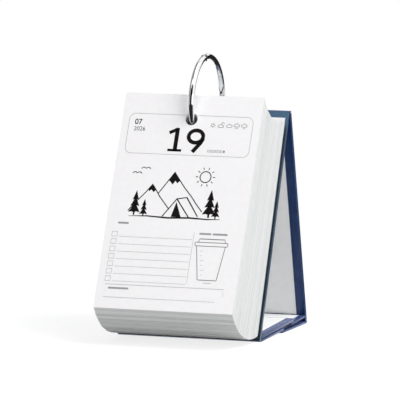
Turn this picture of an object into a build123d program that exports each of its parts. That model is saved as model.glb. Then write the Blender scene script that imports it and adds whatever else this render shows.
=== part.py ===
from build123d import *
import os
from math import atan2, cos, degrees, radians, sin, sqrt

# A day calendar: loose leaves on one gate ring, leaning on a folding stand of paper-wrapped boards.
# Lengths are in millimetres and angles in degrees. X runs across the stand, Y from front to back, Z up.
# The origin is on the table, in the middle of the stand's footprint.

# Stand
stand_width = 95.0
front_length = 148.4
front_lean = 21.3
rear_lean = 12.7
board_core = 1.8
wrap_paper = 0.3
ridge_gap = 0.5
spine_clearance = 0.25
board_turn_in = 6.0

# Floor of the stand
floor_height = 3.9
floor_angle = 2.6
floor_length = 60.0
floor_core = 1.4
floor_turn_in = 5.0
lining_hem = 0.6
tab_height = 5.6
tab_overlap = 4.2
flap_core = 0.7
flap_turn_in = 4.0
rear_base_length = 44.3
base_overlap = 2.1
base_clearance = 0.9
flap_clearance = 0.2
crease_gap = 0.3
crease_offset = 0.2

# Block of leaves
page_width = 92.0
page_length = 141.2
block_thickness = 42.2
block_clearance = 0.2
block_splay = 3.4
arc_growth = 5.1
arc_shift = 0.8
hole_lift = 1.95
pack_count = 24
pack_gap = 0.12
leaf_paper = 0.25
leaf_clearance = 0.2
hole_diameter = 8.0
hole_drop = 15.9

# Gate ring
ring_radius = 28.1
ring_wire = 3.8
ring_wire_sides = 24
ring_depth = 21.4
ring_drop = 0.7
ring_side_clearance = 1.3
ring_end_clearance = 1.0
notch_depth = 17.8
hinge_angle = 100.0
closure_angle = 18.0
eye_diameter = 4.0
eye_clearance = 0.2
eye_width = 3.0
tongue_width = 1.3
tongue_clearance = 0.05
pin_diameter = 1.4
pin_clearance = 0.04
closure_depth = 3.0
closure_gap = 0.15
closure_reach = 16.0
closure_sweep = 12.0

# Directions and reference points of the stand's side view
across = Vector(1, 0, 0)
board_thickness = board_core + 2 * wrap_paper
front_up = Vector(0, sin(radians(front_lean)), cos(radians(front_lean)))
front_face = Vector(0, -cos(radians(front_lean)), sin(radians(front_lean)))
rear_down = Vector(0, sin(radians(rear_lean)), -cos(radians(rear_lean)))
rear_face = Vector(0, cos(radians(rear_lean)), sin(radians(rear_lean)))
ridge_height = front_length * front_up.Z
rear_reach = ridge_height / -rear_down.Z
base_depth = (front_length * front_up.Y - board_thickness * front_face.Y + ridge_gap
              + rear_reach * rear_down.Y + board_thickness * rear_face.Y)
ring_height = front_length - ring_drop
lowest_leaf_top = ring_height - ring_radius + hole_lift + hole_drop
leaf_arc = ring_radius + arc_growth
leaf_arc_depth = ring_depth - arc_shift
front_foot = Vector(0, -base_depth / 2, board_thickness * front_face.Z)
front_inner_foot = front_foot - front_face * board_thickness
ridge_hinge = front_inner_foot + front_up * front_length + Vector(0, ridge_gap, 0)
rear_inner_foot = ridge_hinge + rear_down * rear_reach


def block_point(depth, height):
    """Point in the side view: depth in front of the front board's face, height up along it."""
    return front_foot + front_face * depth + front_up * height


def sloped(angle):
    """Unit vector that runs to the rear and rises by an angle."""
    return Vector(0, cos(radians(angle)), sin(radians(angle)))


def underside(direction):
    """Downward normal of a floor panel that runs in a direction."""
    normal = Vector(0, direction.Z, -direction.Y)
    return normal if normal.Z < 0 else normal * -1


# Panels: each is a board, a wrap paper turned in over its edges, and a lining in the window that is left


def panel_plane(corner, along, face):
    """Plane on a panel's wrapped face, with Y along the panel and Z out of the face."""
    return Plane(origin=corner, x_dir=along.cross(face), z_dir=face)


def panel(plane, length, core, turn_in, cutter=None, start_hem=None, end_hem=None):
    """Board, wrap and lining of one panel. The lining stops at the turn-ins, or at a narrow hem beside a hinge."""
    thickness = core + 2 * wrap_paper
    from_face = (Align.CENTER, Align.MIN, Align.MAX)
    envelope = Box(stand_width, length, thickness, align=from_face)
    board_size = (stand_width - 2 * wrap_paper, length - 2 * wrap_paper, core)
    board = Pos(0, wrap_paper, -wrap_paper) * Box(*board_size, align=from_face)
    start_margin = turn_in if start_hem is None else start_hem
    end_margin = turn_in if end_hem is None else end_hem
    lining_size = (stand_width - 2 * turn_in, length - start_margin - end_margin, wrap_paper)
    lining = Pos(0, start_margin, -wrap_paper - core) * Box(*lining_size, align=from_face)
    layers = {"board": board, "wrap": envelope - board - lining, "lining": lining}
    if cutter is not None:
        layers = {layer: solid - cutter for layer, solid in layers.items()}
    return {layer: plane * solid for layer, solid in layers.items()}


def front_slot():
    """Slot in the front board, long enough for the wire that crosses it at a slant."""
    middle_depth = -board_thickness / 2
    reach = ring_depth - middle_depth
    rise = sqrt(ring_radius ** 2 - reach ** 2)
    wire_spread = ring_wire * ring_radius / rise
    slant_spread = board_thickness * reach / rise
    length = wire_spread + slant_spread + 2 * ring_end_clearance
    width = ring_wire + 2 * ring_side_clearance
    outline = SlotOverall(length, width, rotation=90)
    cutter = extrude(outline, amount=2 * board_thickness, both=True)
    return Pos(0, ring_height - rise, 0) * cutter


def rear_notch():
    """Notch in the rear board's top edge, which the ring stays in while the board folds."""
    width = ring_wire + 2 * ring_side_clearance
    outline = SlotOverall(2 * notch_depth, width, rotation=90)
    return extrude(outline, amount=2 * board_thickness, both=True)


def front_panel():
    plane = panel_plane(front_foot, front_up, front_face)
    return panel(plane, front_length, board_core, board_turn_in, front_slot())


def rear_panel():
    corner = ridge_hinge + rear_face * board_thickness + rear_down * ridge_gap
    length = rear_reach - ridge_gap
    return panel(panel_plane(corner, rear_down, rear_face), length, board_core, board_turn_in, rear_notch())


floor_hinge = (front_inner_foot + front_up * (floor_height / front_up.Z)) + Vector(0, crease_offset, 0)
tab_hinge = (rear_inner_foot - rear_down * (tab_height / -rear_down.Z)) - Vector(0, crease_offset, 0)
rear_base_hinge = rear_inner_foot - Vector(0, crease_offset, 0)
floor_thickness = floor_core + 2 * wrap_paper
flap_thickness = flap_core + 2 * wrap_paper


def floor_panel():
    along = sloped(floor_angle)
    face = underside(along)
    corner = floor_hinge + along * crease_gap + face * floor_thickness
    return panel(panel_plane(corner, along, face), floor_length, floor_core, floor_turn_in, end_hem=lining_hem)


def tab_panel():
    """Tab that reaches under the end of the floor flap."""
    floor_along = sloped(floor_angle)
    floor_end = floor_hinge + floor_along * (crease_gap + floor_length) + underside(floor_along) * floor_thickness
    reach = floor_end - Vector(0, 0, flap_clearance) - tab_hinge
    along = reach.normalized()
    face = underside(along)
    corner = tab_hinge + along * crease_gap + face * flap_thickness
    length = reach.length - crease_gap + tab_overlap
    return panel(panel_plane(corner, along, face), length, flap_core, flap_turn_in, start_hem=lining_hem)


def front_base_panel():
    """Flap that reaches over the end of the rear base flap."""
    corner = Vector(0, front_inner_foot.Y + base_clearance, 0)
    rear_end = rear_base_hinge - Vector(0, crease_gap + rear_base_length, 0)
    reach = rear_end + Vector(0, 0, flap_thickness + flap_clearance) - corner
    along = reach.normalized()
    length = reach.length + base_overlap
    return panel(panel_plane(corner, along, underside(along)), length, flap_core, flap_turn_in)


def rear_base_panel():
    along = Vector(0, -1, 0)
    corner = rear_base_hinge + along * crease_gap
    return panel(panel_plane(corner, along, Vector(0, 0, -1)), rear_base_length, flap_core, flap_turn_in)


def prism(points, width):
    """Solid of a side-view outline, centred across the stand."""
    outline = [point - across * (width / 2) for point in points]
    return Solid.extrude(Face(Wire.make_polygon(outline)), across * width)


def ridge_spine():
    """Strip of wrap on the front board's top edge that reaches over the rear board's, but for the ring."""
    front_corner = front_foot + front_up * front_length
    inner_corner = front_corner - front_face * board_thickness
    rear_corner = ridge_hinge + rear_face * board_thickness
    overhang = rear_corner + Vector(0, 0, spine_clearance)
    strip = prism([front_corner, inner_corner, overhang, overhang + front_up * wrap_paper,
                   front_corner + front_up * wrap_paper], stand_width)
    behind_ridge = (Align.CENTER, Align.MIN, Align.CENTER)
    gap_width = ring_wire + 2 * ring_side_clearance
    ring_gap = Box(gap_width, 2 * board_thickness, 2 * board_thickness, align=behind_ridge)
    return strip - Pos(*ridge_hinge) * ring_gap


# Leaves: every sheet slides along the ring, so the block's top and bottom edges are arcs


def sheet(share):
    """Top edge, downward direction and front normal of the sheet at a share of the block, back to front."""
    depth = block_clearance + block_thickness * share
    height = lowest_leaf_top + leaf_arc - sqrt(leaf_arc ** 2 - (depth - leaf_arc_depth) ** 2)
    tilt = radians(block_splay * share)
    down = front_face * sin(tilt) - front_up * cos(tilt)
    normal = front_face * cos(tilt) + front_up * sin(tilt)
    return block_point(depth, height), down, normal


def sheet_hole(share):
    top, down, normal = sheet(share)
    plane = Plane(origin=top + down * hole_drop, x_dir=across, z_dir=normal)
    return plane * Circle(hole_diameter / 2)


def leaf_pack(index):
    """A pack of leaves, with its share of the hole that follows the ring."""
    start = index / pack_count
    end = (index + 1) / pack_count - pack_gap / block_thickness
    overlap = pack_gap / block_thickness / 2
    (back_top, back_down, _), (front_top, front_down, _) = sheet(start), sheet(end)
    block = prism([back_top, front_top, front_top + front_down * page_length,
                   back_top + back_down * page_length], page_width)
    hole = loft([sheet_hole(start - overlap), sheet_hole(end + overlap)], ruled=True)
    return block - hole


def today_leaf():
    """The leaf on show, a single sheet."""
    top, down, normal = sheet(1)
    plane = Plane(origin=top + normal * leaf_clearance, x_dir=across, z_dir=normal)
    page = Box(page_width, page_length, leaf_paper, align=(Align.CENTER, Align.MAX, Align.MIN))
    hole = Pos(0, -hole_drop, 0) * Cylinder(hole_diameter / 2, 4 * leaf_paper)
    return plane * (page - hole)


# Ring: a long stretch of wire, and a gate that is hinged near the top and swings into the ring

ring_centre = block_point(ring_depth, ring_height)
ring_axis = Axis(ring_centre, across)


def radial(angle):
    return Vector(0, cos(radians(angle)), sin(radians(angle)))


def wire(start, end):
    """Stretch of the ring's wire between two angles, counted from the rear over the top.

    The round wire is drawn with many flat sides, which keeps its mesh light.
    """
    outward = radial(start)
    place = Plane(origin=ring_centre + outward * ring_radius, x_dir=across, z_dir=across.cross(outward))
    section = RegularPolygon(ring_wire / 2, ring_wire_sides)
    return revolve(place * section, axis=ring_axis, revolution_arc=end - start)


hinge_point = ring_centre + radial(hinge_angle) * ring_radius
hinge_axis = Axis(hinge_point, across)


def hinge_disc(diameter, width):
    """Disc about the hinge pin."""
    return Plane(origin=hinge_point, z_dir=across) * Cylinder(diameter / 2, width)


def slab(width):
    """Middle slice of the ring, as wide as given."""
    reach = 4 * ring_radius
    return Pos(*ring_centre) * Box(width, reach, reach)


def closure_cutter(profile):
    """Cutter turned about the hinge, from points given across the wire and out from the hinge."""
    closure = ring_centre + radial(closure_angle) * ring_radius - hinge_point
    direction = degrees(atan2(closure.Z, closure.Y))
    first = radial(direction - closure_sweep)
    corners = [hinge_point + across * side + first * (closure.length + out) for side, out in profile]
    return revolve(Face(Wire.make_polygon(corners)), axis=hinge_axis, revolution_arc=2 * closure_sweep)


def ring_body_and_gate():
    """Body with two ears and a grooved end, gate with a tongue and a wedge-shaped end."""
    eye = hinge_disc(eye_diameter, eye_width)
    eye_room = hinge_disc(eye_diameter + 2 * eye_clearance, 2 * ring_wire)
    beside_tongue = eye_room - slab(tongue_width)
    between_ears = eye_room & slab(tongue_width + 2 * tongue_clearance)
    pin_hole = hinge_disc(pin_diameter + 2 * pin_clearance, 2 * ring_wire)
    side, tip, beyond = ring_wire, closure_depth, 3 * closure_depth
    groove = closure_cutter([(-side, -beyond), (-side, closure_gap - tip), (0, closure_gap + tip),
                             (side, closure_gap - tip), (side, -beyond)])
    past_wedge = closure_cutter([(-side, -tip), (0, tip), (side, -tip), (side, beyond), (-side, beyond)])
    body = wire(hinge_angle, closure_angle + 360 + closure_reach) + eye - between_ears - pin_hole - groove
    gate = wire(closure_angle - closure_reach, hinge_angle) + eye - beside_tongue - pin_hole - past_wedge
    return body, gate


def hinge_pin():
    return hinge_disc(pin_diameter, ring_wire)


def build_parts():
    """All the pieces by name."""
    panels = {"front": front_panel(), "rear": rear_panel(), "floor": floor_panel(), "tab": tab_panel(),
              "front_base": front_base_panel(), "rear_base": rear_base_panel()}
    pieces = {f"{name}_{layer}": solid for name, layers in panels.items() for layer, solid in layers.items()}
    pieces["ridge_spine"] = ridge_spine()
    for index in range(pack_count):
        pieces[f"leaf_pack_{index + 1:02d}"] = leaf_pack(index)
    pieces["today_leaf"] = today_leaf()
    pieces["ring_body"], pieces["ring_gate"] = ring_body_and_gate()
    pieces["ring_hinge_pin"] = hinge_pin()
    return pieces


os.makedirs("parts", exist_ok=True)
for part_name, part_solid in build_parts().items():
    export_step(part_solid, f"parts/{part_name}.step")

hinge_places = {"ridge hinge": ridge_hinge, "floor hinge": floor_hinge, "tab hinge": tab_hinge,
                "rear base hinge": rear_base_hinge, "ring centre": ring_centre, "ring hinge": hinge_point}
for label, place in hinge_places.items():
    print(f"{label}: y {place.Y:.3f} z {place.Z:.3f}")
print(f"base depth {base_depth:.2f}")
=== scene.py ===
import random
from math import atan2, cos, exp, hypot, pi, radians, sin

import bmesh
import bpy
from mathutils import Matrix, Vector


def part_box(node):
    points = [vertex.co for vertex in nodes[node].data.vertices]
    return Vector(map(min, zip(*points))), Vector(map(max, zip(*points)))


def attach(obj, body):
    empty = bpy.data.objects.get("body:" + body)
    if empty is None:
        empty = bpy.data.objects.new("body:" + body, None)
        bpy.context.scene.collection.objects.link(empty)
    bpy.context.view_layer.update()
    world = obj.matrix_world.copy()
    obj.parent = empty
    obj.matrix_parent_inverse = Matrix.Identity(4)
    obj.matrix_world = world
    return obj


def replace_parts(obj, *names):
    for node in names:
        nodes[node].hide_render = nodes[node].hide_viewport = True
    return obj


# A day calendar: a block of leaves on a gate ring, leaning on a folding stand of paper-wrapped boards.
# Blender works in metres. The values below are in millimetres, degrees, counts and shares, unless a heading
# says otherwise. The page's layout is in millimetres from its top left corner.

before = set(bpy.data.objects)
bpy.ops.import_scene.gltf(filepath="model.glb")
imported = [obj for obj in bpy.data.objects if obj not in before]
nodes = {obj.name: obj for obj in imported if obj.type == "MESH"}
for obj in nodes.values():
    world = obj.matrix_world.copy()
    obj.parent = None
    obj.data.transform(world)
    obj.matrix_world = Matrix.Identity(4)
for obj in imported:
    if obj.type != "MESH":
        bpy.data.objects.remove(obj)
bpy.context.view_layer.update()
draw = random.Random(19)

MM = 0.001
ACROSS = Vector((1, 0, 0))

# Leaves
SHEETS_PER_PACK = 7
SHEET_ROWS = (0, 30, 58, 86, 114)
FINE_GAP = 0.015
WIDE_GAP = 0.6
LOOSE_PACKS = 0.4
LOOSE_SHARES = (0.7, 1.0)
TIGHT_SHARES = (0, 0.15)
GAP_REACHES = (0.5, 0.85)
FOOT_GAPS = (0, 0, 0.15, 0.3)
FOOT_SPAN = 0.2
FOOT_LIFTS = (0, 0, 0.1, 0.2)
# Painted shade at the feet of some packs: one of these shares, picked at random per pack
RANDOM_FOOT_SHADES = (0, 0, 0.15, 0.3)
SHEET_JITTER = 0.1
SLIP = 0.14
# Painted shade at the foot of the front pack, fading to none at the rear pack
FOOT_SHADE = 0.12
HOLE_DIAMETER = 8.0
HOLE_DROP = 15.9
HOLE_STEPS = 16
HOLE_WINDOW = 1.6
PAGE_COLUMNS = 14
PAGE_ROWS = 6
BUCKLE_HEIGHT = 0.7
BUCKLE_DEPTH = 12.0
BUCKLE_PLACES = ((33.0, 7.0, 1.0), (53.0, 5.0, -0.45))

# Print
INK_LIFT = 0.03
PRINT_DROP = 0.8
INK_BODY = 0.02
CORNER_STEPS = 6
FRAME_LINE = 0.35
FINE_LINE = 0.28
CUP_LINE = 0.42
PICTURE_LINE = 0.62
TENT_LINE = 0.7
LIGHT_LINE = 0.5
HEADING_HEIGHT = 1.2

# Stand
WELD = 0.001
FLATNESS = 1
SHARP_EDGE = 40
SHADING_CREASE = 50
EDGE_ROUNDING = 0.35
LINING_ROUNDING = 0.1
SPINE_ROUNDING = 0.12
FACING = 0.7
# Painted light and shade on the front panel's front face: painted shadow of the block starts this far below
# the panel's top and fades in over the next value, with painted light above
PAINTED_SHADOW_DROP = 7.0
PAINTED_SHADOW_FADE = 4.0

# Ring
RING_WELD = 0.002
RING_EASING = 0.4
CLOSURE_SETBACK = 0.4
RING_CREASE = 38

# Floor and room, in metres and in shares of white
FLOOR_RADIUS = 3.0
FLOOR_SHADE = 0.26
FLOOR_GLOW = 0.80
FLOOR_BOUNCE = 0.64
FADE_START = 0.16
FADE_END = 0.45
AMBIENT_STRENGTH = 0.385
AMBIENT_COLOUR = (0.97, 0.985, 1.0, 1)
WHITE = (1, 1, 1, 1)

# Camera
CAMERA_AZIMUTH = 20.22
CAMERA_ELEVATION = 7.06
CAMERA_DISTANCE = 3.631
CAMERA_LENS = 520.65
CAMERA_SENSOR = 36
CAMERA_AIM = Vector((0.0, -0.02507, 0.080))
CAMERA_RIGHT = 0.000477
CAMERA_UP = 0.0052


# Materials


def srgb(red, green, blue):
    """Linear colour, from the values that a screen shows."""
    levels = []
    for value in (red, green, blue):
        share = value / 255
        levels.append(share / 12.92 if share <= 0.04045 else ((share + 0.055) / 1.055) ** 2.4)
    return (*levels, 1)


def grey(share):
    """Linear grey, as a share of white."""
    return (share, share, share, 1)


class Finish:
    """A material, with short ways to add nodes to its surface shader."""

    def __init__(self, name):
        self.material = bpy.data.materials.new(name)
        self.material.use_nodes = True
        self.tree = self.material.node_tree
        self.shader = self.tree.nodes["Principled BSDF"]
        self.place = self.add("ShaderNodeTexCoord").outputs["Object"]

    def add(self, kind, **inputs):
        node = self.tree.nodes.new(kind)
        for name, value in inputs.items():
            node.inputs[name.replace("_", " ")].default_value = value
        return node

    def link(self, output, socket):
        self.tree.links.new(output, socket)

    def set(self, **inputs):
        for name, value in inputs.items():
            self.shader.inputs[name.replace("_", " ")].default_value = value

    def noise(self, size, detail=3, stretch=(1, 1, 1)):
        """Noise with grains of a size in millimetres, drawn out along the axes by stretch."""
        mapping = self.add("ShaderNodeMapping", Scale=[1 / share for share in stretch])
        texture = self.add("ShaderNodeTexNoise", Scale=1 / (size * MM), Detail=detail)
        self.link(self.place, mapping.inputs["Vector"])
        self.link(mapping.outputs["Vector"], texture.inputs["Vector"])
        return texture.outputs["Fac"]

    def shades(self, factor, low, high, spread=(0.3, 0.7)):
        """Colour between two shades, by a factor."""
        ramp = self.add("ShaderNodeValToRGB")
        for element, place, colour in zip(ramp.color_ramp.elements, spread, (low, high)):
            element.position = place
            element.color = colour
        self.link(factor, ramp.inputs["Fac"])
        return ramp.outputs["Color"]

    def span(self, factor, low, high):
        """Number between two limits, by a factor."""
        spread = self.add("ShaderNodeMapRange", To_Min=low, To_Max=high)
        self.link(factor, spread.inputs["Value"])
        return spread.outputs["Result"]

    def attribute(self, name):
        """Number that the mesh carries under a name."""
        node = self.add("ShaderNodeAttribute")
        node.attribute_name = name
        return node.outputs["Fac"]

    def maths(self, operation, first, second):
        """Number worked out from two others."""
        node = self.add("ShaderNodeMath")
        node.operation = operation
        self.link(first, node.inputs[0])
        self.link(second, node.inputs[1])
        return node.outputs[0]

    def mix(self, factor, first, second):
        """Colour between two others, by a factor. Each is a fixed colour or a node's output."""
        blend = self.add("ShaderNodeMixRGB")
        self.link(factor, blend.inputs["Fac"])
        for colour, socket in ((first, blend.inputs["Color1"]), (second, blend.inputs["Color2"])):
            if isinstance(colour, tuple):
                socket.default_value = colour
            else:
                self.link(colour, socket)
        return blend.outputs["Color"]

    def paint(self, colour):
        self.link(colour, self.shader.inputs["Base Color"])

    def roughen(self, roughness):
        self.link(roughness, self.shader.inputs["Roughness"])

    def bump(self, factor, depth):
        """Relief of a depth in millimetres."""
        relief = self.add("ShaderNodeBump", Strength=1.0, Distance=depth * MM)
        self.link(factor, relief.inputs["Height"])
        self.link(relief.outputs["Normal"], self.shader.inputs["Normal"])


def paper(name, light, dark, grain=0.5, relief=0.012):
    """Uncoated paper: a faint mottle of fibres."""
    finish = Finish(name)
    finish.paint(finish.shades(finish.noise(6 * grain, detail=6), dark, light))
    finish.roughen(finish.span(finish.noise(grain), 0.72, 0.9))
    finish.set(Specular_IOR_Level=0.25)
    finish.bump(finish.noise(0.4 * grain, detail=5), relief)
    return finish.material


def leaf_paper():
    """Paper of the block: every sheet has its own tone, with painted shade in its hole and at some feet."""
    finish = Finish("leaf_paper")
    tone = finish.shades(finish.attribute("tone"), srgb(226, 227, 227), srgb(240, 240, 240), (0, 1))
    # Painted shade: the tone mixed towards grey in the hole's wall and at the feet
    finish.paint(finish.mix(finish.attribute("painted_leaf_shade"), tone, srgb(120, 120, 120)))
    finish.roughen(finish.span(finish.noise(0.6), 0.75, 0.92))
    finish.set(Specular_IOR_Level=0.2)
    finish.bump(finish.noise(0.25, detail=5), 0.02)
    return finish.material


def cover_paper(name, roughness, sheen, tint):
    """Navy cover paper: a satin coat with a blue sheen over a fine grain, rubbed paler along its edges.

    The front panel's side folds are painted a greyer slate, a painted reflection. Its front face gets
    painted shadow of the block below a line near its top, and painted light above that line.
    """
    finish = Finish(name)
    mottle = finish.noise(5, detail=7)
    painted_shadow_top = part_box("front_wrap")[1].z - PAINTED_SHADOW_DROP * MM
    height = finish.add("ShaderNodeSeparateXYZ")
    finish.link(finish.place, height.inputs["Vector"])
    below = finish.add("ShaderNodeMapRange", From_Min=painted_shadow_top - PAINTED_SHADOW_FADE * MM, From_Max=painted_shadow_top,
                       To_Min=1, To_Max=0)
    finish.link(height.outputs["Z"], below.inputs["Value"])
    # Front face of the front panel: painted shadow of the block below the line, painted light above it
    front = finish.mix(below.outputs["Result"], srgb(56, 90, 118), srgb(8, 33, 50))
    navy = finish.shades(mottle, srgb(2, 40, 88), srgb(7, 50, 103))
    # Greyer slate for the front panel's side folds: a painted reflection of grazing white light
    sheen_slate = finish.shades(mottle, srgb(50, 68, 82), srgb(72, 94, 110))
    front_shaded = finish.mix(finish.attribute("painted_front_shading"), navy, front)
    side_sheened = finish.mix(finish.attribute("painted_side_sheen"), front_shaded, sheen_slate)
    patches = finish.span(finish.noise(3, detail=5), 0.15, 0.85)
    rubbed = finish.maths("MULTIPLY", finish.attribute("wear"), patches)
    finish.paint(finish.mix(rubbed, side_sheened, srgb(112, 138, 172)))
    finish.roughen(finish.span(finish.noise(1.2), roughness - 0.05, roughness + 0.05))
    finish.set(Specular_IOR_Level=0.5, Sheen_Weight=sheen, Sheen_Roughness=0.3, Sheen_Tint=tint)
    finish.bump(finish.noise(0.35, detail=4), 0.006)
    return finish.material


def greyboard():
    """Grey board of pressed fibres."""
    finish = Finish("greyboard")
    fibres = finish.noise(0.8, detail=7, stretch=(3, 1, 1))
    finish.paint(finish.shades(fibres, srgb(120, 116, 108), srgb(168, 163, 152)))
    finish.roughen(finish.span(finish.noise(0.5), 0.8, 0.95))
    finish.bump(fibres, 0.05)
    return finish.material


def chrome(name, low, high):
    """Polished metal with fine wiping marks, and painted shade, dark and matt, in its joints."""
    finish = Finish(name)
    # Painted shade: dark, matt and not metal where the closure's eased edges are
    painted_closure_shade = finish.attribute("painted_closure_shade")
    finish.link(finish.span(painted_closure_shade, 1, 0), finish.shader.inputs["Metallic"])
    finish.paint(finish.mix(painted_closure_shade, finish.shades(finish.noise(4, detail=4), low, high), srgb(24, 24, 26)))
    wiped = finish.span(finish.noise(0.7, stretch=(1, 4, 4)), 0.05, 0.11)
    finish.roughen(finish.maths("MAXIMUM", wiped, painted_closure_shade))
    return finish.material


def ink(name, shade, paler):
    """Printing ink, a little uneven."""
    finish = Finish(name)
    finish.paint(finish.shades(finish.noise(0.7, detail=5), shade, paler))
    finish.roughen(finish.span(finish.noise(0.5), 0.5, 0.7))
    finish.set(Specular_IOR_Level=0.1)
    return finish.material


PAGE_PAPER = paper("page_paper", srgb(248, 246, 247), srgb(245, 243, 244))
LINING_PAPER = paper("lining_paper", srgb(250, 250, 250), srgb(245, 245, 245), grain=0.8, relief=0.03)
LEAF_PAPER = leaf_paper()
COVER_PAPER = cover_paper("cover_paper", 0.36, 0.15, srgb(120, 150, 255))
FLAP_PAPER = cover_paper("flap_paper", 0.22, 1.0, srgb(160, 180, 255))
GREYBOARD = greyboard()
CHROME = chrome("ring_chrome", srgb(240, 241, 243), srgb(248, 249, 250))
PIN_STEEL = chrome("pin_steel", srgb(70, 71, 74), srgb(92, 93, 96))
BLACK_INK = ink("black_ink", srgb(14, 12, 12), srgb(24, 21, 21))
TEXT_INK = ink("text_ink", srgb(58, 56, 58), srgb(72, 70, 72))
LINE_INK = ink("line_ink", srgb(104, 103, 105), srgb(120, 119, 121))
BAR_INK = ink("bar_ink", srgb(148, 147, 149), srgb(164, 163, 165))
FAINT_INK = ink("faint_ink", srgb(182, 182, 184), srgb(196, 196, 198))


# Meshes


def piece(name, mesh, body, material):
    """A mesh as a named piece of the object."""
    thing = bpy.data.objects.new(name, mesh)
    bpy.context.scene.collection.objects.link(thing)
    mesh.materials.clear()
    mesh.materials.append(material)
    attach(thing, body)
    return thing


def side_profile(node):
    """Corners of a node's side view: back top, front top, front bottom and back bottom."""
    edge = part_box(node)[1].x - 0.01 * MM
    corners = {(round(v.co.y, 6), round(v.co.z, 6)) for v in nodes[node].data.vertices if v.co.x > edge}
    middle = sum(z for _, z in corners) / len(corners)
    tops = sorted(c for c in corners if c[1] > middle)
    feet = sorted(c for c in corners if c[1] < middle)
    return [Vector((0, *c)) for c in (tops[-1], tops[0], feet[0], feet[-1])]


# Stand: every panel keeps its board, and its wrap and lining get softly rounded edges


def rounded_copy(node, rounding):
    """A node's mesh with its flat faces joined and its edges rounded."""
    form = bmesh.new()
    form.from_mesh(nodes[node].data)
    bmesh.ops.remove_doubles(form, verts=form.verts, dist=WELD * MM)
    bmesh.ops.dissolve_limit(form, angle_limit=radians(FLATNESS), verts=form.verts, edges=form.edges)
    painted_side_sheen = form.faces.layers.float.new("painted_side_sheen")
    painted_front_shading = form.faces.layers.float.new("painted_front_shading")
    corners = radians(SHARP_EDGE)
    sharp = [e for e in form.edges if len(e.link_faces) == 2 and e.calc_face_angle(0) > corners]
    rounds = bmesh.ops.bevel(form, geom=sharp, offset=rounding * MM, segments=3, profile=0.5, affect="EDGES",
                             clamp_overlap=True)
    rounds = set(rounds["faces"])
    wear = form.verts.layers.float.new("wear")
    for vertex in form.verts:
        vertex[wear] = 1.0 if all(face in rounds for face in vertex.link_faces) else 0.0
    for face in form.faces:
        # Mask for the painted reflection on the front wrap's side folds
        face[painted_side_sheen] = 1.0 if node == "front_wrap" and abs(face.normal.x) > FACING else 0.0
        # Mask for painted light and shadow on the front wrap's front face
        face[painted_front_shading] = 1.0 if node == "front_wrap" and face.normal.y < -FACING else 0.0
        face.smooth = True
    mesh = bpy.data.meshes.new(node)
    form.to_mesh(mesh)
    form.free()
    mesh.set_sharp_from_angle(angle=radians(SHADING_CREASE))
    return mesh


PANEL_BODIES = {"front": "stand_front", "rear": "rear_panel", "floor": "floor_flap", "tab": "rear_tab",
                "front_base": "floor_flap", "rear_base": "rear_base_flap"}


def stand():
    """Boards of grey fibre, with a paper skin in place of every wrap and lining and of the spine."""
    for panel, body in PANEL_BODIES.items():
        board = nodes[f"{panel}_board"].data
        board.materials.clear()
        board.materials.append(GREYBOARD)
        cover = COVER_PAPER if panel in ("front", "rear") else FLAP_PAPER
        skins = (("wrap", "cover_paper", cover, EDGE_ROUNDING),
                 ("lining", "lining_paper", LINING_PAPER, LINING_ROUNDING))
        for layer, slot, material, rounding in skins:
            node = f"{panel}_{layer}"
            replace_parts(piece(f"{node}_paper", rounded_copy(node, rounding), body, material), node)
    spine = rounded_copy("ridge_spine", SPINE_ROUNDING)
    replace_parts(piece("ridge_spine_paper", spine, "stand_front", COVER_PAPER), "ridge_spine")


# Leaves: each pack becomes single sheets, and some of the gaps between them open towards the top


def sheet_mesh(form, tone, width, front, back, shift, foot_shade):
    """Adds a sheet with its hole. front and back are its two faces, as points from the top down."""
    tones = form.verts.layers.float["tone"]

    def vertex(base, side):
        corner = form.verts.new(base + ACROSS * (side * MM))
        corner[tones] = tone
        return corner

    half = width / 2
    radius = HOLE_DIAMETER / 2
    sides = []
    for line in (front, back):
        fall = (line[1] - line[0]) / (SHEET_ROWS[1] - SHEET_ROWS[0])
        left = [vertex(point, shift - half) for point in line]
        right = [vertex(point, shift + half) for point in line]
        top, low = vertex(line[0], shift), vertex(line[1], shift)
        rim = []
        for step in range(HOLE_STEPS):
            turn = 2 * pi * step / HOLE_STEPS
            drop = HOLE_DROP - radius * cos(turn)
            rim.append(vertex(line[0] + fall * drop, shift + radius * sin(turn)))
        sides.append((left, right, top, low, rim))
    half_turn = HOLE_STEPS // 2
    for (left, right, top, low, rim), flip in zip(sides, (1, -1)):
        right_half = [top, *rim[:half_turn + 1], low, right[1], right[0]]
        left_half = [top, left[0], left[1], low, *rim[half_turn:], rim[0]]
        form.faces.new(right_half[::-flip])
        form.faces.new(left_half[::-flip])
        form.faces.new([left[1], left[2], right[2], right[1], low][::flip])
        for row in range(2, len(left) - 1):
            form.faces.new([left[row], left[row + 1], right[row + 1], right[row]][::flip])
    front_left, front_right, front_top, _, front_rim = sides[0]
    back_left, back_right, back_top, _, back_rim = sides[1]
    for row in range(len(front_left) - 1):
        form.faces.new([front_left[row], back_left[row], back_left[row + 1], front_left[row + 1]])
        form.faces.new([front_right[row], front_right[row + 1], back_right[row + 1], back_right[row]])
    form.faces.new([front_left[0], front_top, back_top, back_left[0]])
    form.faces.new([front_top, front_right[0], back_right[0], back_top])
    # Painted shade: the foot face gets the given share, the hole's wall gets it in full
    leaf_shade_layer = form.faces.layers.float["painted_leaf_shade"]
    form.faces.new([front_left[-1], back_left[-1], back_right[-1], front_right[-1]])[leaf_shade_layer] = foot_shade
    for step in range(HOLE_STEPS):
        after = (step + 1) % HOLE_STEPS
        form.faces.new([front_rim[step], front_rim[after], back_rim[after], back_rim[step]])[leaf_shade_layer] = 1.0


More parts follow.
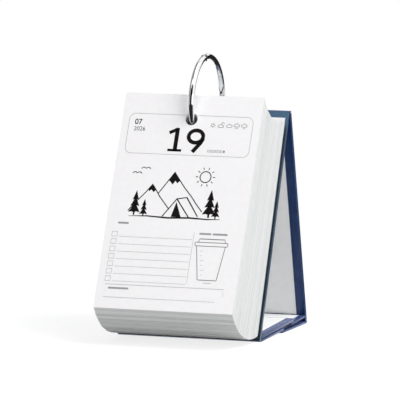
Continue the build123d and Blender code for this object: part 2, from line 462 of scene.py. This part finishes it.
def leaf_pack(node, ahead):
    """The sheets of one pack, between its back and front.

    ahead runs from 0 at the rear pack to 1 at the front one; the painted shade at the foot grows with it.
    """
    back_top, front_top, front_foot, back_foot = side_profile(node)
    low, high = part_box(node)
    width = (high.x - low.x) / MM
    length = (back_top - back_foot).length / MM
    thickness = (front_top - back_top).length / MM
    loose = draw.randrange(1, SHEETS_PER_PACK)
    shares = LOOSE_SHARES if draw.random() < LOOSE_PACKS else TIGHT_SHARES
    openness = WIDE_GAP * draw.uniform(*shares)
    reach = draw.uniform(*GAP_REACHES)
    foot_gap = draw.choice(FOOT_GAPS)
    foot_lift = draw.choice(FOOT_LIFTS)
    # Painted shade at the foot: more towards the front, plus a random share
    foot_shade = FOOT_SHADE * ahead + draw.choice(RANDOM_FOOT_SHADES)
    fronts = [[] for _ in range(SHEETS_PER_PACK)]
    backs = [[] for _ in range(SHEETS_PER_PACK)]
    for row in (*SHEET_ROWS, length):
        fall = row / length
        back, front = back_top.lerp(back_foot, fall), front_top.lerp(front_foot, fall)
        gaps = [FINE_GAP] * (SHEETS_PER_PACK + 1)
        gaps[loose] += openness * max(0, 1 - fall / reach) + foot_gap * max(0, 1 - (1 - fall) / FOOT_SPAN)
        sheet = (thickness - sum(gaps)) / SHEETS_PER_PACK
        place = 0
        for index in range(SHEETS_PER_PACK):
            place += gaps[index]
            backs[index].append(back.lerp(front, place / thickness))
            place += sheet
            fronts[index].append(back.lerp(front, place / thickness))
    form = bmesh.new()
    form.verts.layers.float.new("tone")
    form.faces.layers.float.new("painted_leaf_shade")
    for front, back in zip(fronts, backs):
        slip = (front[-1] - front[0]).normalized() * (min(0, draw.gauss(-SLIP, SLIP)) - foot_lift) * MM
        front[-1] += slip
        back[-1] += slip
        tone = draw.random()
        shift = draw.uniform(-2, 2) * SHEET_JITTER
        sheet_mesh(form, tone, width - 4 * SHEET_JITTER, front, back, shift, foot_shade)
    bmesh.ops.recalc_face_normals(form, faces=form.faces)
    mesh = bpy.data.meshes.new(node)
    form.to_mesh(mesh)
    form.free()
    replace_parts(piece(f"{node}_sheets", mesh, "stand_front", LEAF_PAPER), node)


def block():
    packs = [name for name in nodes if name.startswith("leaf_pack")]
    packs.sort(key=lambda name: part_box(name)[0].y)
    for place, node in enumerate(packs):
        leaf_pack(node, 1 - place / (len(packs) - 1))


# Page: the leaf on show


class Page:
    """The page's place, read from its node."""

    def __init__(self):
        back_top, self.top, self.foot, _ = side_profile("today_leaf")
        low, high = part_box("today_leaf")
        self.left = low.x
        self.width = (high.x - low.x) / MM
        self.length = (self.top - self.foot).length / MM
        self.thickness = (self.top - back_top).length / MM
        self.down = (self.foot - self.top).normalized()
        self.out = self.down.cross(ACROSS).normalized()
        if self.out.y > 0:
            self.out = -self.out

    def buckle(self, x, y):
        """How far the paper stands off, near its top edge."""
        rise = max(0, 1 - y / BUCKLE_DEPTH) ** 2
        waves = sum(size * exp(-((x - place) / wide) ** 2) for place, wide, size in BUCKLE_PLACES)
        return BUCKLE_HEIGHT * rise * waves

    def point(self, x, y, lift=0.0):
        """Place on the page, in millimetres from its top left corner, and as far above the paper as lift."""
        start = Vector((self.left, self.top.y, self.top.z))
        return start + (ACROSS * x + self.down * y + self.out * (lift + self.buckle(x, y))) * MM


PAGE = Page()


def page_sheet():
    """The page itself, fine enough near its top edge for the buckle."""
    form = bmesh.new()
    middle = PAGE.width / 2
    radius = HOLE_DIAMETER / 2
    window = HOLE_WINDOW * radius
    side_columns = [(middle - window) * k / PAGE_COLUMNS for k in range(PAGE_COLUMNS + 1)]
    columns = side_columns + [PAGE.width - x for x in reversed(side_columns)]
    upper, lower = HOLE_DROP - window, HOLE_DROP + window
    rows = [upper * k / PAGE_ROWS for k in range(PAGE_ROWS + 1)]
    rows += [lower + (PAGE.length - lower) * k / PAGE_ROWS for k in range(PAGE_ROWS + 1)]
    last_row, last_column = len(rows) - 1, len(columns) - 1
    rims = []
    edges = []
    for lift in (0.0, -PAGE.thickness):
        grid = [[form.verts.new(PAGE.point(x, y, lift)) for x in columns] for y in rows]
        for r in range(last_row):
            for c in range(last_column):
                if (r, c) != (PAGE_ROWS, PAGE_COLUMNS):
                    form.faces.new([grid[r][c], grid[r + 1][c], grid[r + 1][c + 1], grid[r][c + 1]])
        rim = []
        for step in range(4 * HOLE_STEPS):
            turn = -3 * pi / 4 + pi / 2 * step / HOLE_STEPS
            x, y = middle + radius * cos(turn), HOLE_DROP + radius * sin(turn)
            rim.append(form.verts.new(PAGE.point(x, y, lift)))
        corners = [grid[PAGE_ROWS + r][PAGE_COLUMNS + c] for r, c in ((0, 0), (0, 1), (1, 1), (1, 0))]
        for quarter in range(4):
            arc_points = [rim[(quarter * HOLE_STEPS + k) % len(rim)] for k in range(HOLE_STEPS + 1)]
            form.faces.new([corners[(quarter + 1) % 4], corners[quarter], *arc_points])
        rims.append(rim)
        right_edge = [row[-1] for row in grid[1:]]
        left_edge = [row[0] for row in grid[-2:0:-1]]
        edges.append(grid[0] + right_edge + grid[-1][-2::-1] + left_edge)
    for near, far in (rims, edges):
        for k in range(len(near)):
            form.faces.new([near[k - 1], near[k], far[k], far[k - 1]])
    bmesh.ops.recalc_face_normals(form, faces=form.faces)
    mesh = bpy.data.meshes.new("page")
    form.to_mesh(mesh)
    form.free()
    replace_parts(piece("page_on_show", mesh, "day_leaf", PAGE_PAPER), "today_leaf")


# Print: strokes and fills that lie on the page


def arc(x, y, radius, start, end, steps=16, squash=1.0):
    """Points of an arc, with angles in degrees from the right towards the page's foot."""
    turns = [radians(start + (end - start) * k / steps) for k in range(steps + 1)]
    return [(x + radius * cos(t), y + radius * squash * sin(t)) for t in turns]


def rounded_box(left, top, right, foot, radius):
    """Closed outline of a box with round corners, from its top right one on."""
    corners = ((right - radius, top + radius), (right - radius, foot - radius),
               (left + radius, foot - radius), (left + radius, top + radius))
    outline = []
    for quarter, (x, y) in enumerate(corners):
        outline += arc(x, y, radius, 90 * quarter - 90, 90 * quarter, CORNER_STEPS)
    return outline


class Print:
    """Ink of one colour on one part of the page."""

    def __init__(self, name, material):
        self.name = name
        self.material = material
        self.form = bmesh.new()

    def fill(self, outline):
        self.form.faces.new([self.form.verts.new((x, y, 0)) for x, y in outline])

    def stroke(self, points, width, closed=False, taper=False):
        """A line of a width through points, with mitred corners."""
        count = len(points)
        sides = []
        for index, (x, y) in enumerate(points):
            before = points[index - 1] if closed or index else points[index]
            after = points[(index + 1) % count] if closed or index < count - 1 else points[index]
            run = (after[0] - before[0], after[1] - before[1])
            size = hypot(*run) or 1
            cut = 1.0
            if before != points[index] != after:
                turn = atan2(after[1] - y, after[0] - x) - atan2(y - before[1], x - before[0])
                cut = min(2.0, 1 / max(0.3, abs(cos(turn / 2))))
            share = sin(pi * (index + 0.5) / count) if taper else 1.0
            reach = width / 2 * cut * share
            off = (-run[1] / size * reach, run[0] / size * reach)
            ends = ((x + off[0], y + off[1], 0), (x - off[0], y - off[1], 0))
            sides.append([self.form.verts.new(end) for end in ends])
        for index in range(count if closed else count - 1):
            (a, b), (c, d) = sides[index], sides[(index + 1) % count]
            self.form.faces.new([a, c, d, b])

    def finish(self):
        """Gives the ink its thin body and lays it on the page."""
        raised = bmesh.ops.extrude_face_region(self.form, geom=list(self.form.faces))
        for item in raised["geom"]:
            if isinstance(item, bmesh.types.BMVert):
                item.co.z = INK_BODY
        for vertex in self.form.verts:
            x, y, body = vertex.co
            vertex.co = PAGE.point(x, y + PRINT_DROP, INK_LIFT + body)
        bmesh.ops.recalc_face_normals(self.form, faces=self.form.faces)
        mesh = bpy.data.meshes.new(self.name)
        self.form.to_mesh(mesh)
        self.form.free()
        piece(self.name, mesh, "day_leaf", self.material)


def numeral(name, text, material, left, top, height, bold):
    """Plain numerals of a height, laid on the page, with strokes thickened by bold."""
    curve = bpy.data.curves.new(name, "FONT")
    curve.body = text
    curve.offset = bold
    writing = bpy.data.objects.new(name, curve)
    bpy.context.scene.collection.objects.link(writing)
    mesh = bpy.data.meshes.new_from_object(writing.evaluated_get(bpy.context.evaluated_depsgraph_get()))
    bpy.data.objects.remove(writing)
    low = min(v.co.y for v in mesh.vertices)
    tall = max(v.co.y for v in mesh.vertices) - low
    start = min(v.co.x for v in mesh.vertices)
    ink_print = Print(name, material)
    ink_print.form.from_mesh(mesh)
    for vertex in ink_print.form.verts:
        x, y, _ = vertex.co
        vertex.co = (left + (x - start) * height / tall, top + (tall + low - y) * height / tall, 0)
    ink_print.finish()


def header():
    """Rounded frame that the hole cuts, numerals for month, year and date, and a square for each weekday."""
    outline = Print("header_frame", FAINT_INK)
    middle, top, gap = PAGE.width / 2, 12.6, 0.85 * HOLE_DIAMETER / 2
    box = rounded_box(4.8, top, 87.0, 38.8, 4.0)
    outline.stroke([(middle + gap, top), *box, (middle - gap, top)], FRAME_LINE)
    outline.finish()
    numeral("month_numerals", "07", TEXT_INK, left=8.7, top=16.2, height=3.6, bold=0.012)
    numeral("year_numerals", "2026", TEXT_INK, left=8.7, top=21.2, height=2.7, bold=-0.004)
    date = Print("date_numerals", BLACK_INK)
    date.stroke([(37.9, 21.2), (37.9, 36.6)], 2.7)
    date.stroke([(32.8, 24.6), (38.2, 21.9)], 2.2)
    date.stroke([(33.0, 35.9), (42.2, 35.9)], 1.6)
    date.stroke(arc(50.6, 26.4, 4.8, 0, 360, 40, squash=0.84)[:-1], 2.5, closed=True)
    date.stroke([(55.6, 27.6), (54.3, 30.4), (49.6, 36.6)], 2.6)
    date.finish()
    week = Print("week_squares", LINE_INK)
    first, pitch, width, top, foot = 59.8, 1.7, 1.05, 34.9, 36.3
    for day in range(7):
        left = first + pitch * day
        square = [(left, top), (left + width, top), (left + width, foot), (left, foot)]
        if day == 6:
            week.fill(square)
        else:
            week.stroke(square, 0.2, closed=True)
    week.finish()


def rays(marks, x, y, count, inner, outer, width):
    """Short strokes round a sun, between two radii."""
    for ray in range(count):
        turn = 2 * pi * ray / count
        marks.stroke([(x + reach * cos(turn), y + reach * sin(turn)) for reach in (inner, outer)], width)


def cloud(marks, x, y, size):
    """Outline of a cloud, flat at the foot."""
    left = arc(x - size, y, 0.62 * size, 90, 250, 8)
    crown = arc(x, y - 0.45 * size, 0.78 * size, 200, 340, 8)
    right = arc(x + size, y, 0.62 * size, -70, 90, 8)
    marks.stroke(left + crown + right, FINE_LINE, closed=True)


def weather():
    """Small weather marks: sun, sun and cloud, cloud, and two clouds with rain."""
    marks = Print("weather_marks", LINE_INK)
    row, sun, size = 18.6, 60.7, 1.15
    marks.stroke(arc(sun, row, 0.85, 0, 360, 14)[:-1], FINE_LINE, closed=True)
    rays(marks, sun, row, 8, 1.25, 1.75, 0.25)
    marks.stroke(arc(67.2, row - 1.3, 0.8, 150, 380, 12), FINE_LINE)
    cloud(marks, 66.0, row + 0.5, size)
    cloud(marks, 71.6, row + 0.2, size)
    for place, drops in ((76.5, 3), (81.4, 2)):
        cloud(marks, place, row - 0.3, size)
        for drop in range(drops):
            x = place + 0.85 * (drop - (drops - 1) / 2)
            marks.stroke([(x + 0.15, row + 0.9), (x - 0.2, row + 1.8)], FINE_LINE)
    marks.finish()


def pine(picture, x, foot, height, tiers=3):
    """A pine as stacked black tiers over a short trunk."""
    wide = 0.26 * height
    for tier in range(tiers):
        low = foot - height * (0.12 + 0.27 * tier)
        top = low - height * 0.42
        reach = wide * (1 - 0.24 * tier)
        picture.fill([(x, top), (x + reach, low), (x + 0.35 * reach, low - 0.5), (x, low + 0.2),
                      (x - 0.45 * reach, low - 0.4), (x - reach, low)])
    picture.stroke([(x, foot), (x, foot - 0.2 * height)], 0.07 * height)


def picture():
    """A line drawing of hills, pines, a tent, a sun and birds, over a ground stroke."""
    art = Print("page_picture", BLACK_INK)
    art.stroke([(13.0, 76.5), (19.0, 69.0), (23.5, 63.6), (27.0, 58.8), (29.8, 62.4), (32.6, 66.4),
                (35.4, 69.4), (39.5, 74.0)], PICTURE_LINE)
    art.stroke([(31.4, 64.6), (36.0, 57.4), (40.6, 50.4), (44.6, 55.6), (48.6, 60.4), (53.2, 65.2),
                (57.6, 70.6), (62.0, 75.4)], PICTURE_LINE)
    art.fill([(40.6, 50.4), (44.6, 55.6), (43.0, 57.6), (41.6, 55.8), (40.0, 58.4), (38.4, 56.6),
              (37.2, 55.6)])
    art.fill([(27.0, 58.8), (29.8, 62.4), (28.2, 63.8), (26.6, 62.2), (25.2, 63.4), (24.6, 61.8)])
    sun_x, sun_y = 61.0, 52.6
    art.stroke(arc(sun_x, sun_y, 3.6, 0, 360, 26)[:-1], PICTURE_LINE, closed=True)
    rays(art, sun_x, sun_y, 10, 4.9, 6.4, LIGHT_LINE)
    pines = ((17.2, 79.2, 15.0), (23.4, 79.8, 10.5), (66.6, 79.0, 17.0), (71.2, 79.6, 11.0))
    for x, foot, height in pines:
        pine(art, x, foot, height)
    art.stroke([(36.2, 79.4), (44.4, 67.6), (53.8, 79.4)], TENT_LINE)
    art.stroke([(44.4, 67.6), (50.8, 66.4), (59.6, 78.6)], TENT_LINE)
    art.fill([(44.4, 69.6), (48.6, 79.4), (42.0, 79.4)])
    ground = [(14.0, 80.0), (26.0, 79.5), (40.0, 80.2), (54.0, 79.6), (66.0, 80.1), (74.5, 79.8)]
    art.stroke(ground, 1.1, taper=True)
    for x, y in ((15.6, 52.6), (21.0, 49.4)):
        art.stroke(arc(x - 1.5, y, 1.6, 200, 330, 8), LIGHT_LINE)
        art.stroke(arc(x + 1.5, y, 1.6, 210, 340, 8), LIGHT_LINE)
    art.finish()


def bare_heading(name, left, middle, *words):
    """A heading without words: a bar for each word, as long as given."""
    heading = Print(name, BAR_INK)
    top, foot = middle - HEADING_HEIGHT / 2, middle + HEADING_HEIGHT / 2
    for word in words:
        heading.fill(rounded_box(left, top, left + word, foot, 0.4 * HEADING_HEIGHT))
        left += word + 0.8 * HEADING_HEIGHT
    heading.finish()


def task_list():
    """Check boxes with a ruled line each, and the upright that closes the list."""
    boxes = Print("task_boxes", FAINT_INK)
    left, right, first, pitch, box_height = 5.0, 8.5, 90.5, 4.84, 3.1
    for row in range(7):
        top = first + pitch * row
        foot = top + box_height
        boxes.stroke([(left, top), (right, top), (right, foot), (left, foot)], 0.3, closed=True)
        boxes.stroke([(9.8, foot), (58.3, foot)], FINE_LINE)
    boxes.stroke([(59.1, 88.8), (59.1, 121.9)], FINE_LINE)
    boxes.finish()
    bare_heading("list_heading", 7.9, 84.7, 7.1)


def cup():
    """Outline of a lidded cup with level marks."""
    lid_top, lid_foot, cup_foot = 95.0, 97.4, 119.4
    lines = Print("cup_outline", LINE_INK)
    lines.stroke([(62.8, lid_top), (63.4, 92.8), (80.0, 92.8), (80.6, lid_top)], CUP_LINE)
    lines.stroke(rounded_box(60.8, lid_top, 82.3, lid_foot, 0.7), CUP_LINE, closed=True)
    lines.stroke([(62.0, lid_foot), (65.6, 119.0), (66.0, cup_foot), (77.8, cup_foot), (78.2, 119.0),
                  (80.9, lid_foot)], CUP_LINE)
    lines.finish()
    bare_heading("cup_heading", 62.6, 89.5, 7.8, 9.8)
    levels = Print("cup_levels", FAINT_INK)
    for mark in range(6):
        y = 100.6 + 3.1 * mark
        start = 64.0 + 0.165 * (y - lid_foot)
        levels.stroke([(start, y), (start + (2.4 if mark % 2 == 0 else 1.4), y)], 0.26)
    levels.stroke([(69.8, 121.2), (75.0, 121.2)], LIGHT_LINE)
    levels.finish()


def summary_box():
    """An open frame at the page's foot, with a heading."""
    lines = Print("summary_frame", FAINT_INK)
    left, right, top, foot = 5.7, 83.9, 124.8, 133.2
    lines.stroke([(79.0, foot), (left, foot), (left, top), (right, top), (right, 129.6)], FINE_LINE)
    lines.finish()
    bare_heading("summary_heading", 7.8, 127.2, 13.6)


def page():
    page_sheet()
    header()
    weather()
    picture()
    task_list()
    cup()
    summary_box()


# Ring


def smooth_copy(node, crease):
    """A node's mesh with smooth faces, up to the angle of a crease.

    The closure at the back has eased edges with painted shade on them, and the gate's end there is set back
    a little.
    """
    form = bmesh.new()
    form.from_mesh(nodes[node].data)
    bmesh.ops.remove_doubles(form, verts=form.verts, dist=RING_WELD * MM)
    bmesh.ops.dissolve_limit(form, angle_limit=radians(FLATNESS), verts=form.verts, edges=form.edges)
    painted_closure_shade = form.faces.layers.float.new("painted_closure_shade")

    def closure():
        return [e for e in form.edges if e.calc_face_angle(0) > radians(crease) and e.verts[0].co.y > 0]

    around = {face for edge in closure() for corner in edge.verts for face in corner.link_faces}
    near = {v for face in around for v in face.verts}
    bmesh.ops.remove_doubles(form, verts=[v for v in form.verts if v in near], dist=RING_EASING * MM)
    if node == "ring_gate":
        low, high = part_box("ring_body")
        radius = (high.y - low.y) / 2
        centre = Vector((0, low.y + radius, low.z + radius))
        tip = {v for e in closure() for v in e.verts}
        bmesh.ops.rotate(form, verts=[v for v in form.verts if v in tip], cent=centre,
                         matrix=Matrix.Rotation(radians(CLOSURE_SETBACK), 3, "X"))
    eased = bmesh.ops.bevel(form, geom=closure(), offset=RING_EASING * MM, segments=2, profile=0.5,
                            affect="EDGES", clamp_overlap=True)
    eased = set(eased["faces"])
    # Painted shade on the closure's eased faces and on the faces between them
    for face in form.faces:
        inside = all(any(other in eased for other in edge.link_faces) for edge in face.edges)
        face[painted_closure_shade] = 1.0 if inside or face in eased else 0.0
        face.smooth = True
    for edge in form.edges:
        rim = len({face in eased for face in edge.link_faces}) == 2
        edge.smooth = not rim and edge.calc_face_angle(0) < radians(crease)
    mesh = bpy.data.meshes.new(node)
    form.to_mesh(mesh)
    form.free()
    return mesh


def ring():
    for node, body, metal in (("ring_body", "stand_front", CHROME), ("ring_gate", "gate", CHROME),
                              ("ring_hinge_pin", "stand_front", PIN_STEEL)):
        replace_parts(piece(f"{node}_metal", smooth_copy(node, RING_CREASE), body, metal), node)


# Stage, light and camera


def soft_light(name, place, aim, size, power, reflected=True):
    """A rectangular lamp, with its size in metres and its power in watts."""
    lamp = bpy.data.lights.new(name, "AREA")
    lamp.shape = "RECTANGLE"
    lamp.size, lamp.size_y = size
    lamp.energy = power
    thing = bpy.data.objects.new(name, lamp)
    bpy.context.scene.collection.objects.link(thing)
    thing.location = place
    thing.rotation_mode = "QUATERNION"
    thing.rotation_quaternion = (Vector(aim) - Vector(place)).to_track_quat("-Z", "Y")
    thing.visible_glossy = reflected


def floor():
    """Pale floor: it keeps the shadow and goes over into the white background."""
    form = bmesh.new()
    bmesh.ops.create_circle(form, cap_ends=True, segments=96, radius=FLOOR_RADIUS)
    mesh = bpy.data.meshes.new("floor")
    form.to_mesh(mesh)
    form.free()
    ground = bpy.data.objects.new("floor", mesh)
    bpy.context.scene.collection.objects.link(ground)
    finish = Finish("floor_white")
    tree = finish.tree
    out = tree.nodes["Material Output"]
    tree.nodes.remove(finish.shader)
    matt = finish.add("ShaderNodeBsdfDiffuse", Color=grey(FLOOR_SHADE))
    glow = finish.add("ShaderNodeEmission", Color=WHITE, Strength=FLOOR_GLOW)
    lit = finish.add("ShaderNodeAddShader")
    finish.link(matt.outputs[0], lit.inputs[0])
    finish.link(glow.outputs[0], lit.inputs[1])
    white = finish.add("ShaderNodeEmission", Color=WHITE, Strength=1.0)
    bounce = finish.add("ShaderNodeBsdfDiffuse", Color=grey(FLOOR_BOUNCE))
    light_path = finish.add("ShaderNodeLightPath").outputs
    seen = finish.maths("MAXIMUM", light_path["Is Camera Ray"], light_path["Is Glossy Ray"])
    away = finish.add("ShaderNodeVectorMath")
    away.operation = "LENGTH"
    finish.link(finish.place, away.inputs[0])
    fade = finish.add("ShaderNodeMapRange", From_Min=FADE_START, From_Max=FADE_END)
    finish.link(away.outputs["Value"], fade.inputs["Value"])
    near = finish.add("ShaderNodeMixShader")
    finish.link(fade.outputs["Result"], near.inputs["Fac"])
    finish.link(lit.outputs[0], near.inputs[1])
    finish.link(white.outputs[0], near.inputs[2])
    shown = finish.add("ShaderNodeMixShader")
    finish.link(seen, shown.inputs["Fac"])
    finish.link(bounce.outputs[0], shown.inputs[1])
    finish.link(near.outputs[0], shown.inputs[2])
    finish.link(shown.outputs[0], out.inputs["Surface"])
    mesh.materials.append(finish.material)


def card(name, place, aim, size, shade):
    """A card that only reflections show, to give the chrome its darker streaks."""
    form = bmesh.new()
    bmesh.ops.create_grid(form, x_segments=1, y_segments=1, size=0.5)
    mesh = bpy.data.meshes.new(name)
    form.to_mesh(mesh)
    form.free()
    sheet = bpy.data.objects.new(name, mesh)
    bpy.context.scene.collection.objects.link(sheet)
    sheet.scale = (*size, 1)
    sheet.location = place
    sheet.rotation_mode = "QUATERNION"
    sheet.rotation_quaternion = (Vector(aim) - Vector(place)).to_track_quat("Z", "Y")
    finish = Finish(name)
    finish.tree.nodes.remove(finish.shader)
    glow = finish.add("ShaderNodeEmission", Color=grey(shade), Strength=1.0)
    finish.link(glow.outputs[0], finish.tree.nodes["Material Output"].inputs["Surface"])
    mesh.materials.append(finish.material)
    sheet.visible_camera = False
    sheet.visible_diffuse = False
    sheet.visible_shadow = False


def surroundings():
    """A white room in the camera and in reflections, and a dimmer one as light."""
    world = bpy.data.worlds.new("white_room")
    bpy.context.scene.world = world
    world.use_nodes = True
    tree = world.node_tree
    shown = tree.nodes["Background"]
    shown.inputs["Color"].default_value = WHITE
    shown.inputs["Strength"].default_value = 1.0
    ambient = tree.nodes.new("ShaderNodeBackground")
    ambient.inputs["Color"].default_value = AMBIENT_COLOUR
    ambient.inputs["Strength"].default_value = AMBIENT_STRENGTH
    light_path = tree.nodes.new("ShaderNodeLightPath")
    seen = tree.nodes.new("ShaderNodeMath")
    seen.operation = "MAXIMUM"
    tree.links.new(light_path.outputs["Is Camera Ray"], seen.inputs[0])
    tree.links.new(light_path.outputs["Is Glossy Ray"], seen.inputs[1])
    mix = tree.nodes.new("ShaderNodeMixShader")
    tree.links.new(seen.outputs[0], mix.inputs["Fac"])
    tree.links.new(ambient.outputs[0], mix.inputs[1])
    tree.links.new(shown.outputs[0], mix.inputs[2])
    tree.links.new(mix.outputs[0], tree.nodes["World Output"].inputs["Surface"])


def camera():
    turn, rise = radians(CAMERA_AZIMUTH), radians(CAMERA_ELEVATION)
    back = Vector((sin(turn) * cos(rise), -cos(turn) * cos(rise), sin(rise)))
    right = Vector((cos(turn), sin(turn), 0))
    up = right.cross(-back)
    lens = bpy.data.cameras.new("camera")
    lens.lens = CAMERA_LENS
    lens.sensor_width = CAMERA_SENSOR
    lens.clip_end = 100
    eye = bpy.data.objects.new("camera", lens)
    bpy.context.scene.collection.objects.link(eye)
    eye.rotation_mode = "QUATERNION"
    eye.rotation_quaternion = (-back).to_track_quat("-Z", "Y")
    eye.location = CAMERA_AIM + right * CAMERA_RIGHT + up * CAMERA_UP + back * CAMERA_DISTANCE
    bpy.context.scene.camera = eye


def studio():
    surroundings()
    floor()
    middle = (0, -0.02, 0.08)
    soft_light("key_light", place=(-0.8, -1.9, 2.1), aim=middle, size=(0.9, 0.9), power=2.5)
    soft_light("side_light", place=(1.45, -0.35, 2.0), aim=middle, size=(1.3, 1.3), power=40)
    soft_light("fill_light", place=(1.6, -1.4, 0.4), aim=middle, size=(1.2, 0.7), power=4)
    soft_light("top_light", place=(0.45, 0.1, 2.2), aim=middle, size=(1.2, 1.4), power=9)
    soft_light("low_light", place=(-0.4, -1.8, 0.5), aim=(0, -0.06, 0), size=(1.2, 0.4), power=3.8,
               reflected=False)
    card("front_card", place=(0.36, -2.9, 1.35), aim=(0.36, 0, 1.35), size=(5.6, 3.4), shade=0.01)
    card("low_card", place=(0.0, -1.515, 0.002), aim=(0.0, -1.515, 1.0), size=(3.2, 2.77), shade=0.02)
    card("rear_card", place=(0.34, 1.26, 0.27), aim=(0, 0, 0.27), size=(1.0, 0.54), shade=0.01)
    card("rear_low_card", place=(0.30, 0.63, 0.002), aim=(0.30, 0.63, 1.0), size=(0.7, 1.14), shade=0.02)
    card("left_card", place=(-1.35, -0.1, 1.6), aim=(0, -0.1, 1.6), size=(2.4, 3.3), shade=0.3)
    card("over_card", place=(-0.8, -0.1, 2.6), aim=(-0.8, -0.1, 0), size=(1.4, 2.6), shade=0.4)
    card("rear_left_card", place=(-0.95, 1.6, 1.1), aim=(0, 0, 1.1), size=(1.4, 1.3), shade=0.2)


stand()
block()
page()
ring()
studio()
camera()

view = bpy.context.scene.view_settings
view.view_transform = "Standard"
bpy.context.view_layer.update()
